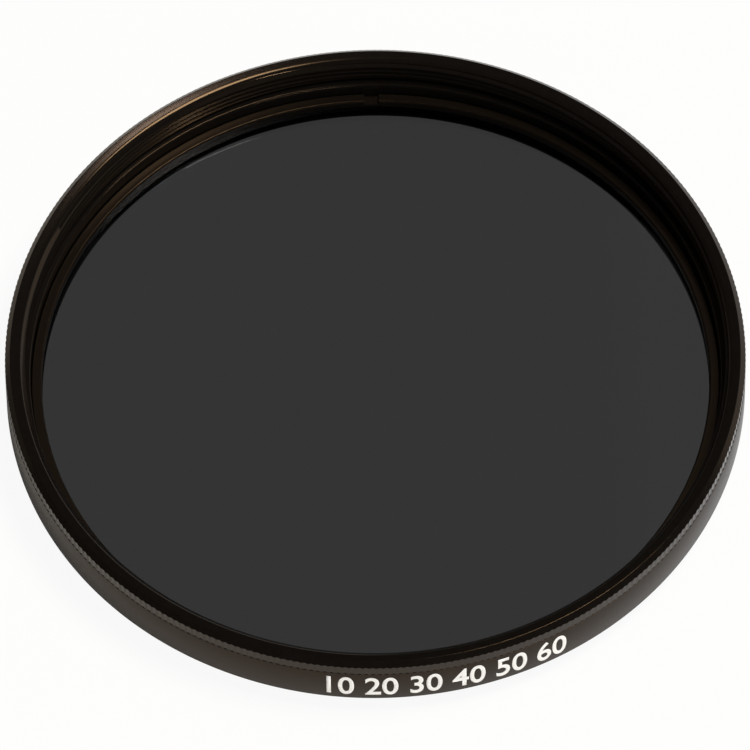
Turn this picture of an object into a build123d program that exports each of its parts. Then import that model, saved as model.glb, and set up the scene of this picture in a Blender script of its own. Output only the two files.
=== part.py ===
from build123d import *
import math
import os

# Neutral density filter for a 77 mm filter thread, in millimetres: a turned ring, a disc of dark
# glass that lies on the ring's rear lip, and a thin screwed ring that holds the glass down.
# Z is the optical axis and +Z looks out of the front. z = 0 is the rear end face.

os.makedirs("parts", exist_ok=True)

# Screw thread, the same at the front and at the rear
thread_diameter = 77.0
thread_pitch = 0.75

# Heights along the axis, stacked from the rear face to the front face
lip_thickness = 0.7
glass_thickness = 2.4
retainer_thickness = 0.9
retainer_recess = 1.6
front_bore_depth = 3.5

# Rear thread
rear_thread_length = 2.3
rear_thread_lead = 0.45
undercut_width = 0.5
undercut_depth = 0.12

# Rim outside the threads
rim_wall = 1.8
rim_front_chamfer = 0.6
rim_rear_chamfer = 0.3
front_dish = 0.13

# Knurled band under the front chamfer: straight ribs that stand on a shallow turned recess
rib_count = 342
rib_height = 0.06
rib_length = 1.3
rib_sink = 0.02
rib_foot = 0.02

# Bore, from the front thread in to the clear opening
entry_chamfer = 0.65
runout_width = 0.5
runout_depth = 0.1
retainer_step = 0.5
step_break = 0.12
seat_step = 0.6
seat_drop = 0.2
lip_width = 0.6
lip_bevel = 0.3

# Glass
glass_clearance = 0.1
glass_chamfer = 0.2

# Retaining ring
retainer_clearance = 0.05
retainer_bevel = 0.15
retainer_edge_radius = 0.1
retainer_edge_break = 0.12
notch_width = 1.6
notch_floor = 0.4

# An ISO metric thread's crest in the nut and root on the screw lie these shares of the sharp
# thread's height inside the nominal radius
nut_crest_share = 5 / 8
screw_root_share = 17 / 24
thread_height = thread_pitch * math.sqrt(3) / 2
thread_radius = thread_diameter / 2
thread_bore_radius = thread_radius - nut_crest_share * thread_height
undercut_radius = thread_radius - screw_root_share * thread_height - undercut_depth

# Heights that follow from the stack
glass_top = lip_thickness + glass_thickness
retainer_top = glass_top + retainer_thickness
retainer_bore_top = retainer_top + retainer_recess
front_face = retainer_bore_top + front_bore_depth
entry_top = front_face - front_dish

# Radii that follow from the thread
rim_radius = thread_radius + rim_wall
rib_crest_radius = rim_radius - rib_sink
rib_root_radius = rib_crest_radius - rib_height
band_radius = rib_root_radius - rib_foot
chamfer_radius = rim_radius - rim_front_chamfer
runout_radius = thread_radius + runout_depth
retainer_bore_radius = thread_bore_radius - retainer_step
seat_radius = retainer_bore_radius - seat_step
clear_radius = seat_radius - lip_width

# The ribs end where the 45 degree front chamfer starts
rib_top = front_face - (band_radius - chamfer_radius)
rib_bottom = rib_top - rib_length


def rib_outline():
    """Points round the knurl's section, a crest and a root in turn."""
    for step in range(2 * rib_count):
        radius = rib_root_radius if step % 2 else rib_crest_radius
        turn = math.pi * step / rib_count
        yield radius * math.cos(turn), radius * math.sin(turn)


# Filter ring: the outside is turned first, then the stepped bore, then the thread grooves
with BuildPart() as filter_ring:
    with BuildSketch(Plane.XZ) as outside:
        with BuildLine():
            Polyline(
                (0, 0),
                (thread_radius - rear_thread_lead, 0),
                (thread_radius, rear_thread_lead),
                (thread_radius, rear_thread_length),
                (rim_radius - rim_rear_chamfer, rear_thread_length),
                (rim_radius, rear_thread_length + rim_rear_chamfer),
                (rim_radius, rib_bottom),
                (band_radius, rib_bottom),
                (band_radius, rib_top),
                (chamfer_radius, front_face),
                (0, front_face),
                close=True,
            )
        make_face()
    revolve(axis=Axis.Z)

    # Knurl: every rib stands on the recess between the wall and the chamfer
    with BuildSketch(Plane.XY.offset(rib_bottom)) as knurl:
        with BuildLine():
            Polyline(*rib_outline(), close=True)
        make_face()
        Circle(chamfer_radius, mode=Mode.SUBTRACT)
    extrude(amount=rib_length)

    # Bore: clear opening, glass seat, retaining ring's bore, front thread with its entry, and the
    # front face, which falls a little towards the bore
    with BuildSketch(Plane.XZ) as stepped_bore:
        with BuildLine():
            Polyline(
                (0, 0),
                (clear_radius + lip_bevel, 0),
                (clear_radius, lip_bevel),
                (clear_radius, lip_thickness),
                (seat_radius, lip_thickness),
                (seat_radius, glass_top - seat_drop),
                (retainer_bore_radius, glass_top - seat_drop),
                (retainer_bore_radius, retainer_bore_top - step_break),
                (retainer_bore_radius + step_break, retainer_bore_top),
                (thread_bore_radius, retainer_bore_top),
                (thread_bore_radius, entry_top - entry_chamfer),
                (thread_bore_radius + entry_chamfer, entry_top),
                (chamfer_radius, front_face),
                (0, front_face),
                close=True,
            )
        make_face()
    revolve(axis=Axis.Z, mode=Mode.SUBTRACT)

    # Run-out groove at the inner end of the front thread
    with BuildSketch(Plane.XY.offset(retainer_bore_top)):
        Circle(runout_radius)
        Circle(thread_bore_radius, mode=Mode.SUBTRACT)
    extrude(amount=runout_width, mode=Mode.SUBTRACT)

    # Undercut behind the rear thread, against the shoulder
    with BuildSketch(Plane.XY.offset(rear_thread_length)):
        Circle(thread_radius)
        Circle(undercut_radius, mode=Mode.SUBTRACT)
    extrude(amount=-undercut_width, mode=Mode.SUBTRACT)
filter_ring.part.label = "filter_ring"
export_step(filter_ring.part, "parts/filter_ring.step")


# Glass: a plane-parallel disc with both edges chamfered, lying on the lip
with BuildPart() as filter_glass:
    with BuildSketch(Plane.XY.offset(lip_thickness)):
        Circle(seat_radius - glass_clearance)
    extrude(amount=glass_thickness)
    chamfer(filter_glass.edges().filter_by(GeomType.CIRCLE), glass_chamfer)
filter_glass.part.label = "filter_glass"
export_step(filter_glass.part, "parts/filter_glass.step")


# Retaining ring: bevelled towards the opening, with one cut across it that makes the two notches
# for a spanner
with BuildPart() as retaining_ring:
    with BuildSketch(Plane.XZ) as ring_section:
        with BuildLine():
            Polyline(
                (clear_radius, glass_top),
                (retainer_bore_radius - retainer_clearance, glass_top),
                (retainer_bore_radius - retainer_clearance, retainer_top),
                (clear_radius + retainer_bevel, retainer_top),
                (clear_radius, retainer_top - retainer_bevel),
                close=True,
            )
        make_face()
    revolve(axis=Axis.Z)
    top_edges = retaining_ring.edges().filter_by(GeomType.CIRCLE).group_by(Axis.Z)[-1]
    inner_edge, outer_edge = top_edges.sort_by(SortBy.RADIUS)
    fillet(inner_edge, retainer_edge_radius)
    chamfer(outer_edge, retainer_edge_break)
    with BuildSketch(Plane.XY.offset(retainer_top)):
        Rectangle(notch_width, 2 * retainer_bore_radius)
    extrude(amount=-(retainer_thickness - notch_floor), mode=Mode.SUBTRACT)
retaining_ring.part.label = "retaining_ring"
export_step(retaining_ring.part, "parts/retaining_ring.step")
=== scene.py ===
import math

import bmesh
import bpy
from mathutils import Matrix, Vector


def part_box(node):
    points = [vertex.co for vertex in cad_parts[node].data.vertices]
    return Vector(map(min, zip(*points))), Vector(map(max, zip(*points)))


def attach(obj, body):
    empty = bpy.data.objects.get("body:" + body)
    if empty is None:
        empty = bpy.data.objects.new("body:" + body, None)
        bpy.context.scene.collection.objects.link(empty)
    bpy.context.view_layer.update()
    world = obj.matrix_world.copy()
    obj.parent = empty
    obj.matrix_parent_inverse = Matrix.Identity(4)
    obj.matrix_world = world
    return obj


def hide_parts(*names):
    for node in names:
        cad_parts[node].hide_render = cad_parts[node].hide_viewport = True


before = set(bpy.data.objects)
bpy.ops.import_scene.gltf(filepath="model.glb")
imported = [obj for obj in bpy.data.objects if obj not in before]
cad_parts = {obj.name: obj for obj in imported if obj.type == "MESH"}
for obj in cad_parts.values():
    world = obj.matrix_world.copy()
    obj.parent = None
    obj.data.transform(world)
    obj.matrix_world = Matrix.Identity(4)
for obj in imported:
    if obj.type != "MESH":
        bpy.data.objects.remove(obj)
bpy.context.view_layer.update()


# Filter ring
# One piece of aluminium, turned all over and anodised satin black. A knurl is rolled under its front
# chamfer. It has a fine thread inside the front, another outside the rear, and a lip for the glass.
mm = 0.001
ring_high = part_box("filter_ring")[1]
rim_radius = ring_high.x
front_face = ring_high.z

# Metric thread, 5/8 as deep as the sharp triangle that its flanks would make
thread_pitch = 0.75 * mm
thread_radius = 38.5 * mm
thread_depth = 5 / 8 * math.sqrt(3) / 2 * thread_pitch
thread_bore_radius = thread_radius - thread_depth

# Rear thread, its lead chamfer and the undercut against the shoulder
lead_chamfer = 0.45 * mm
rear_thread_end = 1.8 * mm
shoulder_height = 2.3 * mm
undercut_radius = 37.92 * mm

# Rim: the wall is set back by the thickness of the paint of its numbers
paint_thickness = 0.015 * mm
wall_radius = rim_radius - paint_thickness
rear_chamfer = 0.3 * mm
front_chamfer = 0.6 * mm
chamfer_radius = rim_radius - front_chamfer
front_dish = 0.13 * mm

# Rounding of the turned edges
edge_radius = 0.05 * mm
fine_edge_radius = edge_radius / 2
finest_edge_radius = edge_radius / 3
entry_edge_radius = 0.3 * mm
entry_edge_cuts = 7

# Knurl: straight ribs that end in the front chamfer
rib_count = 342
rib_height = 0.06 * mm
rib_sink = 0.02 * mm
rib_crest_radius = rim_radius - rib_sink
rib_bottom_depth = 1.8 * mm
rib_bottom = front_face - rib_bottom_depth

# Bore, from the front thread down to the lip
entry_chamfer = 0.65 * mm
front_bore_depth = 3.5 * mm
runout_width = 0.5 * mm
runout_depth = 0.1 * mm
retainer_step = 0.5 * mm
step_break = 0.12 * mm
seat_shelf = 2.9 * mm
seat_step = 0.6 * mm
lip_height = 0.7 * mm
lip_width = 0.6 * mm
lip_bevel = 0.3 * mm

# Heights and radii of the bore that follow from these
entry_radius = thread_bore_radius + entry_chamfer
entry_top = front_face - front_dish
front_thread_top = entry_top - entry_edge_radius
front_bore_end = front_face - front_bore_depth
runout_top = front_bore_end + runout_width
runout_radius = thread_radius + runout_depth
retainer_bore_radius = thread_bore_radius - retainer_step
seat_radius = retainer_bore_radius - seat_step
clear_radius = seat_radius - lip_width

# How far the dished front face falls over the rounding of its outer edge
front_width = chamfer_radius - entry_radius
edge_fall = front_dish * edge_radius / front_width


def fixed_row(radius, height):
    """A row of points at one radius and one height, all round the axis."""
    return lambda turn: (radius, height)


def rounded_rows(corners, radius, cuts=3):
    """Rows through the corners of a section, with its inner corners turned to a small radius."""
    rows = [fixed_row(*corners[0])]
    for before, corner, after in zip(corners, corners[1:], corners[2:]):
        before, corner, after = Vector(before), Vector(corner), Vector(after)
        start = corner + (before - corner).normalized() * radius
        end = corner + (after - corner).normalized() * radius
        for cut in range(cuts):
            share = cut / (cuts - 1)
            point = start * (1 - share) ** 2 + corner * 2 * share * (1 - share) + end * share ** 2
            rows.append(fixed_row(point.x, point.y))
    rows.append(fixed_row(*corners[-1]))
    return rows


def thread_rows(low, high, cut_back):
    """Rows of a right-hand thread. They climb one pitch in a turn and stop at the thread's two ends.
    cut_back holds the thread's radius within the chamfer at its end."""
    # Shares of a pitch: the outer flat, a flank, the inner flat and the other flank
    crest_end, root_start, root_end = 1 / 8, 7 / 16, 11 / 16
    start = low - thread_pitch

    def radius_at(height, turn):
        phase = ((height - start) / thread_pitch - turn / math.tau) % 1
        if phase < crest_end:
            depth = 0
        elif phase < root_start:
            depth = (phase - crest_end) / (root_start - crest_end)
        elif phase < root_end:
            depth = 1
        else:
            depth = (1 - phase) / (1 - root_end)
        return cut_back(thread_radius - thread_depth * depth, height)

    def row(climb):
        def point(turn):
            height = start + (climb + turn / math.tau) * thread_pitch
            height = min(max(height, low), high)
            return radius_at(height, turn), height
        return point

    turns = math.ceil((high - low) / thread_pitch) + 1
    return [
        row(whole + part)
        for whole in range(turns + 1)
        for part in (0, crest_end, root_start, root_end)
    ]


def rib_radius(turn):
    """The knurl's radius: straight flanks between a crest and a root."""
    phase = turn * rib_count / math.tau % 1
    return rib_crest_radius - rib_height * (1 - abs(1 - 2 * phase))


# How near points are welded, how short edges are dropped, and from which angle an edge stays sharp
weld_distance = 1e-7
sliver_length = 1e-8
sharp_edge_angle = math.radians(40)


def turned_mesh(name, rows, columns):
    """A closed mesh round the axis. Rows that meet at a thread's ends and at the seam are welded."""
    mesh = bpy.data.meshes.new(name)
    points = []
    for row in rows:
        for column in range(columns + 1):
            turn = math.tau * column / columns
            radius, height = row(turn)
            points.append((radius * math.cos(turn), radius * math.sin(turn), height))
    width = columns + 1
    faces = []
    for index in range(len(rows)):
        this_row = index * width
        next_row = (index + 1) % len(rows) * width
        for column in range(columns):
            faces.append((
                this_row + column, this_row + column + 1,
                next_row + column + 1, next_row + column,
            ))
    mesh.from_pydata(points, [], faces)
    shape = bmesh.new()
    shape.from_mesh(mesh)
    bmesh.ops.remove_doubles(shape, verts=shape.verts, dist=weld_distance)
    bmesh.ops.dissolve_degenerate(shape, edges=shape.edges, dist=sliver_length)
    bmesh.ops.recalc_face_normals(shape, faces=shape.faces)
    shape.to_mesh(mesh)
    shape.free()
    mesh.shade_smooth()
    mesh.set_sharp_from_angle(angle=sharp_edge_angle)
    piece = bpy.data.objects.new(name, mesh)
    bpy.context.scene.collection.objects.link(piece)
    return piece


# The section starts on the lip, turns round the rear face, climbs the outside and goes down the bore
ring_rows = rounded_rows(
    [(clear_radius, lip_height), (clear_radius, lip_bevel), (clear_radius + lip_bevel, 0),
     (thread_radius - lead_chamfer, 0)],
    edge_radius,
)
ring_rows += thread_rows(
    0, rear_thread_end,
    lambda radius, height: min(radius, thread_radius - lead_chamfer + height),
)
ring_rows += rounded_rows(
    [(undercut_radius, rear_thread_end), (undercut_radius, shoulder_height),
     (rim_radius - rear_chamfer, shoulder_height), (wall_radius, shoulder_height + rear_chamfer),
     (wall_radius, rib_bottom), (rib_crest_radius - rib_height, rib_bottom)],
    finest_edge_radius,
)[:-1]
ring_rows += [
    lambda turn: (rib_radius(turn), rib_bottom),
    lambda turn: (rib_radius(turn), front_face - (rib_radius(turn) - chamfer_radius)),
]
ring_rows += rounded_rows(
    [(chamfer_radius + edge_radius, front_face - edge_radius), (chamfer_radius, front_face),
     (chamfer_radius - edge_radius, front_face - edge_fall)],
    fine_edge_radius,
)
ring_rows += rounded_rows(
    [(chamfer_radius - edge_radius, front_face - edge_fall), (entry_radius, entry_top),
     (entry_radius - entry_edge_radius, front_thread_top)],
    entry_edge_radius, entry_edge_cuts,
)[1:-1]
ring_rows += reversed(thread_rows(
    runout_top, front_thread_top,
    lambda radius, height: max(radius, entry_radius - (entry_top - height)),
))
ring_rows += rounded_rows(
    [(runout_radius, runout_top), (runout_radius, front_bore_end),
     (retainer_bore_radius + step_break, front_bore_end),
     (retainer_bore_radius, front_bore_end - step_break),
     (retainer_bore_radius, seat_shelf)],
    fine_edge_radius,
)
ring_rows += [
    fixed_row(seat_radius, seat_shelf),
    fixed_row(seat_radius, lip_height),
]
filter_ring = turned_mesh("turned_ring", ring_rows, 2 * rib_count)


def link(material, source, output, target, entry):
    """Joins one node's output to another node's input."""
    material.node_tree.links.new(source.outputs[output], target.inputs[entry])


def add_node(material, kind, **settings):
    """A new node of one kind, with its settings."""
    node = material.node_tree.nodes.new(kind)
    for name, value in settings.items():
        setattr(node, name, value)
    return node


def add_noise(material, place, output, scale, detail):
    """Noise over the points that a node puts out, with so many grains to the metre."""
    noise = add_node(material, "ShaderNodeTexNoise")
    noise.inputs["Scale"].default_value = scale
    noise.inputs["Detail"].default_value = detail
    link(material, place, output, noise, "Vector")
    return noise


def add_range(material, source, output, low, high, start=0.0, end=1.0):
    """A value that goes from low to high while a node's output goes from start to end."""
    stretch = add_node(material, "ShaderNodeMapRange")
    stretch.inputs["From Min"].default_value = start
    stretch.inputs["From Max"].default_value = end
    stretch.inputs["To Min"].default_value = low
    stretch.inputs["To Max"].default_value = high
    link(material, source, output, stretch, "Value")
    return stretch


def add_blend(material, noise, first, second):
    """A colour that varies between two with the noise."""
    blend = add_node(material, "ShaderNodeMix", data_type="RGBA")
    blend.inputs["A"].default_value = (*first, 1)
    blend.inputs["B"].default_value = (*second, 1)
    link(material, noise, "Fac", blend, "Factor")
    return blend


# Anodised surface: its shine, the depth of its marks and how far the roughness strays
oxide_shine = 0.27
oxide_tint = (1.0, 0.62, 0.32, 1)
marks_scale = 9000
grain_scale = 5200
patches_scale = 1500
marks_depth = 0.0015 * mm
turned_grain_depth = 0.001 * mm
blasted_grain_depth = 0.016 * mm
least_roughness = 0.75
most_roughness = 1.25
blasting_blend = 0.02 * mm


def black_anodising(name, dark, light, turned, blasted, wall_from):
    """Black anodising over turning marks, which run round the axis. Outside the radius wall_from the
    metal is blasted first, which leaves a coarser grain. turned and blasted are roughnesses."""
    material = bpy.data.materials.new(name)
    material.use_nodes = True
    surface = material.node_tree.nodes["Principled BSDF"]
    surface.inputs["Specular IOR Level"].default_value = oxide_shine
    surface.inputs["Specular Tint"].default_value = oxide_tint

    # How much of the wall's blasted finish a place has, by its distance from the axis
    place = add_node(material, "ShaderNodeTexCoord")
    parts = add_node(material, "ShaderNodeSeparateXYZ")
    link(material, place, "Object", parts, "Vector")
    flat = add_node(material, "ShaderNodeCombineXYZ")
    link(material, parts, "X", flat, "X")
    link(material, parts, "Y", flat, "Y")
    radius = add_node(material, "ShaderNodeVectorMath", operation="LENGTH")
    link(material, flat, "Vector", radius, "Vector")
    wall = add_range(
        material, radius, "Value", 0.0, 1.0, start=wall_from, end=wall_from + blasting_blend,
    )

    # Turning marks: noise that depends on radius and height alone
    section = add_node(material, "ShaderNodeCombineXYZ")
    link(material, radius, "Value", section, "X")
    link(material, parts, "Z", section, "Y")
    marks = add_noise(material, section, "Vector", marks_scale, detail=2)

    # Grain of the etched metal, and patches a little lighter and warmer
    grain = add_noise(material, place, "Object", grain_scale, detail=3)
    patches = add_noise(material, place, "Object", patches_scale, detail=4)
    colour = add_blend(material, patches, dark, light)
    link(material, colour, "Result", surface, "Base Color")

    # Roughness: that of the finish, uneven with the grain
    finish = add_range(material, wall, "Result", turned, blasted)
    strays = add_range(material, grain, "Fac", least_roughness, most_roughness)
    uneven = add_node(material, "ShaderNodeMath", operation="MULTIPLY")
    link(material, finish, "Result", uneven, 0)
    link(material, strays, "Result", uneven, 1)
    link(material, uneven, "Value", surface, "Roughness")

    # Relief: the grain, deeper where the metal is blasted, and the turning marks over it
    grain_depth = add_range(material, wall, "Result", turned_grain_depth, blasted_grain_depth)
    grain_bump = add_node(material, "ShaderNodeBump")
    link(material, grain_depth, "Result", grain_bump, "Distance")
    link(material, grain, "Fac", grain_bump, "Height")
    marks_bump = add_node(material, "ShaderNodeBump")
    marks_bump.inputs["Distance"].default_value = marks_depth
    link(material, marks, "Fac", marks_bump, "Height")
    link(material, grain_bump, "Normal", marks_bump, "Normal")
    link(material, marks_bump, "Normal", surface, "Normal")
    return material


# The blasting covers the wall and reaches a little way into the knurl
blasting_reach = 0.06 * mm
ring_black = black_anodising(
    "ring_satin_black", dark=(0.0026, 0.0022, 0.0019), light=(0.0055, 0.0046, 0.0038),
    turned=0.14, blasted=0.34, wall_from=rim_radius - blasting_reach,
)
filter_ring.data.materials.append(ring_black)
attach(filter_ring, "root")
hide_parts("filter_ring")


# Glass
# A flat disc of neutral grey glass, dyed through, ground and polished on both faces, with a fine
# chamfer round each edge. It lies on the ring's lip.
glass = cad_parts["filter_glass"]
glass_index = 1.5
deeper_grey = (0.0365, 0.0365, 0.0365)
paler_grey = (0.0375, 0.0375, 0.0375)
smears_scale = 60
smears_roughness = 0.02

glass_grey = bpy.data.materials.new("glass_neutral_grey")
glass_grey.use_nodes = True
polish = glass_grey.node_tree.nodes["Principled BSDF"]
polish.inputs["Transmission Weight"].default_value = 1.0
polish.inputs["IOR"].default_value = glass_index
glass_place = add_node(glass_grey, "ShaderNodeTexCoord")
smears = add_noise(glass_grey, glass_place, "Object", smears_scale, detail=3)
tint = add_blend(glass_grey, smears, deeper_grey, paler_grey)
link(glass_grey, tint, "Result", polish, "Base Color")
clean = add_range(glass_grey, smears, "Fac", 0.0, smears_roughness)
link(glass_grey, clean, "Result", polish, "Roughness")
glass.data.materials.clear()
glass.data.materials.append(glass_grey)


# Retaining ring
# A thin turned ring of aluminium, anodised matt black and screwed into the bore down onto the glass.
# A spanner turns it by its two notches.
retaining_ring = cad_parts["retaining_ring"]
retainer_black = black_anodising(
    "retaining_ring_matt_black", dark=(0.001, 0.0009, 0.0008), light=(0.0025, 0.0022, 0.002),
    turned=0.32, blasted=0.32, wall_from=rim_radius,
)
retaining_ring.data.materials.clear()
retaining_ring.data.materials.append(retainer_black)


# Numbers on the wall
# A plain row of numbers, printed round the wall in white paint. The paint stands out from the wall by
# its thickness.
row_text = "10 20 30 40 50 60"
figure_height = 3.4 * mm
figure_middle = 5.0 * mm
row_start = math.radians(261.8)
row_end = math.radians(299.9)
boldness = 0.014
slice_width = 0.25 * mm
dull_white = (0.72, 0.71, 0.68)
clear_white = (0.95, 0.94, 0.92)
fleck_scale = 4000
paint_roughness = 0.55

row_curve = bpy.data.curves.new("row", "FONT")
row_curve.body = row_text
row_curve.offset = boldness
row_letters = bpy.data.objects.new("row", row_curve)
bpy.context.scene.collection.objects.link(row_letters)
bpy.context.view_layer.update()
number_mesh = bpy.data.meshes.new_from_object(
    row_letters.evaluated_get(bpy.context.evaluated_depsgraph_get())
)
bpy.data.objects.remove(row_letters)

# The flat row is scaled to its place, cut into upright slices and bent round the wall
row_length = (row_end - row_start) * rim_radius
row_left = min(vertex.co.x for vertex in number_mesh.vertices)
row_right = max(vertex.co.x for vertex in number_mesh.vertices)
row_low = min(vertex.co.y for vertex in number_mesh.vertices)
row_high = max(vertex.co.y for vertex in number_mesh.vertices)
paint = bmesh.new()
paint.from_mesh(number_mesh)
for vertex in paint.verts:
    vertex.co.x = (vertex.co.x - row_left) / (row_right - row_left) * row_length
    vertex.co.y = (vertex.co.y - (row_low + row_high) / 2) / (row_high - row_low) * figure_height
for cut in range(1, int(row_length / slice_width) + 1):
    bmesh.ops.bisect_plane(
        paint, geom=paint.verts[:] + paint.edges[:] + paint.faces[:],
        plane_co=(cut * slice_width, 0, 0), plane_no=(1, 0, 0),
    )

# The paint's back lies as deep inside the wall as its front stands out
paint_back = rim_radius - 2 * paint_thickness
for vertex in paint.verts:
    turn = row_start + vertex.co.x / rim_radius
    vertex.co = (paint_back * math.cos(turn), paint_back * math.sin(turn), figure_middle + vertex.co.y)
raised = bmesh.ops.extrude_face_region(paint, geom=paint.faces[:])
for item in raised["geom"]:
    if isinstance(item, bmesh.types.BMVert):
        item.co += Vector((item.co.x, item.co.y, 0)).normalized() * 2 * paint_thickness
bmesh.ops.recalc_face_normals(paint, faces=paint.faces)
paint.to_mesh(number_mesh)
paint.free()
number_mesh.name = "wall_numbers"
wall_numbers = bpy.data.objects.new("wall_numbers", number_mesh)
bpy.context.scene.collection.objects.link(wall_numbers)

white_paint = bpy.data.materials.new("number_white_paint")
white_paint.use_nodes = True
coat = white_paint.node_tree.nodes["Principled BSDF"]
paint_place = add_node(white_paint, "ShaderNodeTexCoord")
fleck = add_noise(white_paint, paint_place, "Object", fleck_scale, detail=2)
white = add_blend(white_paint, fleck, dull_white, clear_white)
link(white_paint, white, "Result", coat, "Base Color")
coat.inputs["Roughness"].default_value = paint_roughness
wall_numbers.data.materials.append(white_paint)
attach(wall_numbers, "root")


# Floor and backdrop
# A wide white dish that the filter lies in: flat in the middle, and rising all round far behind it.
# Part of its white is a glow, even as it is seen. As the filter mirrors it, the glow is painted shade
# on its left and painted light on its right.
floor_radius = 4.0
rise_radius = 2.6
backdrop_height = 0.7
floor_gap = 0.01 * mm
dish_rings = 24
dish_columns = 96
dish_colour = (0.82, 0.77, 0.68, 1)

# Shares of the glow: as it is seen, and as it is mirrored to the left (painted shade) and to the right
# (painted light)
seen_glow = 0.93
painted_shade_glow = 0.1
painted_light_glow = 1.0
dim_until = -40 * mm
bright_from = 30 * mm


def dish_height(radius):
    """The dish's height at a distance from its middle. Its rise is a quarter of an ellipse."""
    if radius <= rise_radius:
        return 0
    share = (radius - rise_radius) / (floor_radius - rise_radius)
    return backdrop_height * (1 - math.sqrt(max(0, 1 - share * share)))


dish_points = [(0, 0, -floor_gap)]
dish_faces = []
for ring_index in range(1, dish_rings + 1):
    radius = floor_radius * ring_index / dish_rings
    for column in range(dish_columns):
        turn = math.tau * column / dish_columns
        dish_points.append((
            radius * math.cos(turn), radius * math.sin(turn), dish_height(radius) - floor_gap,
        ))
for column in range(dish_columns):
    after = (column + 1) % dish_columns
    dish_faces.append((0, 1 + column, 1 + after))
    for ring_index in range(dish_rings - 1):
        inner = 1 + ring_index * dish_columns
        outer = inner + dish_columns
        dish_faces.append((inner + column, outer + column, outer + after, inner + after))
dish_mesh = bpy.data.meshes.new("white_dish")
dish_mesh.from_pydata(dish_points, [], dish_faces)
dish_mesh.shade_smooth()
dish = bpy.data.objects.new("white_dish", dish_mesh)
bpy.context.scene.collection.objects.link(dish)

dish_white = bpy.data.materials.new("dish_white")
dish_white.use_nodes = True
dish_white.node_tree.nodes.clear()
rays = add_node(dish_white, "ShaderNodeLightPath")

# The glow as it is seen, straight or through the glass
seen_rays = add_node(dish_white, "ShaderNodeMath", operation="MAXIMUM")
link(dish_white, rays, "Is Camera Ray", seen_rays, 0)
link(dish_white, rays, "Is Transmission Ray", seen_rays, 1)
seen_share = add_node(dish_white, "ShaderNodeMath", operation="MULTIPLY")
seen_share.inputs[1].default_value = seen_glow
link(dish_white, seen_rays, "Value", seen_share, 0)

# The glow as it is mirrored: painted light and shade, dim on the left and bright on the right, as if
# lit from the right
dish_place = add_node(dish_white, "ShaderNodeTexCoord")
dish_parts = add_node(dish_white, "ShaderNodeSeparateXYZ")
link(dish_white, dish_place, "Object", dish_parts, "Vector")
# Painted light and shade: the mirrored glow grows from the left of the filter to its right
painted_side_light = add_range(
    dish_white, dish_parts, "X", painted_shade_glow, painted_light_glow, start=dim_until, end=bright_from,
)
mirrored_share = add_node(dish_white, "ShaderNodeMath", operation="MULTIPLY")
link(dish_white, rays, "Is Glossy Ray", mirrored_share, 0)
link(dish_white, painted_side_light, "Result", mirrored_share, 1)

# The matt white that takes the light and the shadow, mixed with the glow
dish_matt = add_node(dish_white, "ShaderNodeBsdfDiffuse")
dish_matt.inputs["Color"].default_value = dish_colour
dish_glow = add_node(dish_white, "ShaderNodeEmission")
dish_glow.inputs["Strength"].default_value = 1.0
glow_share = add_node(dish_white, "ShaderNodeMath", operation="MAXIMUM")
link(dish_white, seen_share, "Value", glow_share, 0)
link(dish_white, mirrored_share, "Value", glow_share, 1)
dish_share = add_node(dish_white, "ShaderNodeMixShader")
link(dish_white, glow_share, "Value", dish_share, "Fac")
link(dish_white, dish_matt, "BSDF", dish_share, 1)
link(dish_white, dish_glow, "Emission", dish_share, 2)
dish_output = add_node(dish_white, "ShaderNodeOutputMaterial")
link(dish_white, dish_share, "Shader", dish_output, "Surface")
dish.data.materials.append(dish_white)


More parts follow.
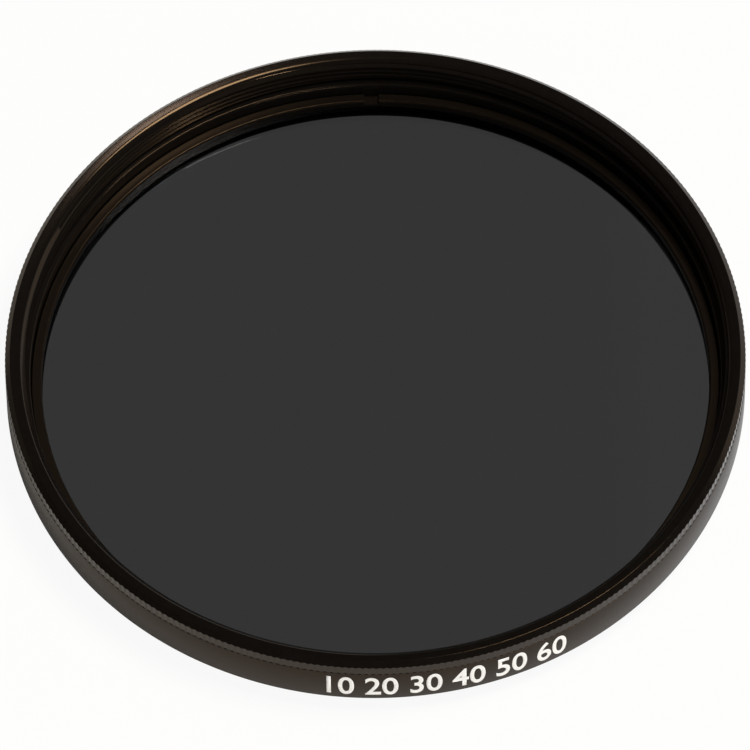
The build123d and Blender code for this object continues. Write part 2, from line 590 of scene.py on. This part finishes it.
# Light
# A softbox high on the right, a low fill in front, and a small lamp high behind, which shines off the
# front face on the far left.
def area_lamp(name, azimuth, elevation, distance, size, watts, colour=(1, 1, 1)):
    """A lamp that points at the filter. Azimuth is counted round +Z from +X. Angles are in degrees."""
    lamp = bpy.data.lights.new(name, "AREA")
    lamp.shape = "RECTANGLE"
    lamp.size, lamp.size_y = size
    lamp.energy = watts
    lamp.color = colour
    out = Vector((
        math.cos(math.radians(elevation)) * math.cos(math.radians(azimuth)),
        math.cos(math.radians(elevation)) * math.sin(math.radians(azimuth)),
        math.sin(math.radians(elevation)),
    ))
    placed = bpy.data.objects.new(name, lamp)
    placed.location = out * distance
    placed.rotation_mode = "QUATERNION"
    placed.rotation_quaternion = out.to_track_quat("Z", "Y")
    placed.visible_camera = False
    bpy.context.scene.collection.objects.link(placed)


area_lamp("top_softbox", azimuth=-3, elevation=71, distance=1.8, size=(0.7, 0.7), watts=33)
area_lamp("front_fill", azimuth=-72, elevation=4, distance=1.5, size=(0.7, 0.1), watts=12)
area_lamp("back_lamp", azimuth=67.5, elevation=67.2, distance=1.5, size=(0.13, 0.09), watts=0.95,
          colour=(0.68, 0.74, 1.0))

# The dark room round the table
room_colour = (0.06, 0.06, 0.062, 1)
world = bpy.data.worlds.new("studio")
world.use_nodes = True
room = world.node_tree.nodes["Background"]
room.inputs["Color"].default_value = room_colour
room.inputs["Strength"].default_value = 1.0
bpy.context.scene.world = world


# Camera
# A long lens from above the near side, rolled a little, as the photograph was taken.
view_elevation = math.radians(56.76)
view_roll = -0.0147
view_distance = 1.391
aim_height = front_face - front_chamfer
aim_drop = 2.23 * mm
aim_left = 0.026 * mm
sensor_width = 36.0
image_width = 750
focal_pixels = 12794
nearest_seen = 0.05
farthest_seen = 20

into_view = Vector((0, math.cos(view_elevation), -math.sin(view_elevation)))
level_right = Vector((1, 0, 0))
level_up = level_right.cross(into_view)
right = math.cos(view_roll) * level_right + math.sin(view_roll) * level_up
up = -math.sin(view_roll) * level_right + math.cos(view_roll) * level_up
camera_data = bpy.data.cameras.new("camera")
camera_data.sensor_width = sensor_width
camera_data.lens = focal_pixels * sensor_width / image_width
camera_data.clip_start = nearest_seen
camera_data.clip_end = farthest_seen
camera = bpy.data.objects.new("camera", camera_data)
eye = Vector((0, 0, aim_height)) - into_view * view_distance - up * aim_drop - right * aim_left
camera.matrix_world = Matrix((
    (right.x, up.x, -into_view.x, eye.x),
    (right.y, up.y, -into_view.y, eye.y),
    (right.z, up.z, -into_view.z, eye.z),
    (0, 0, 0, 1),
))
bpy.context.scene.collection.objects.link(camera)
bpy.context.scene.camera = camera
bpy.context.scene.view_settings.view_transform = "Standard"
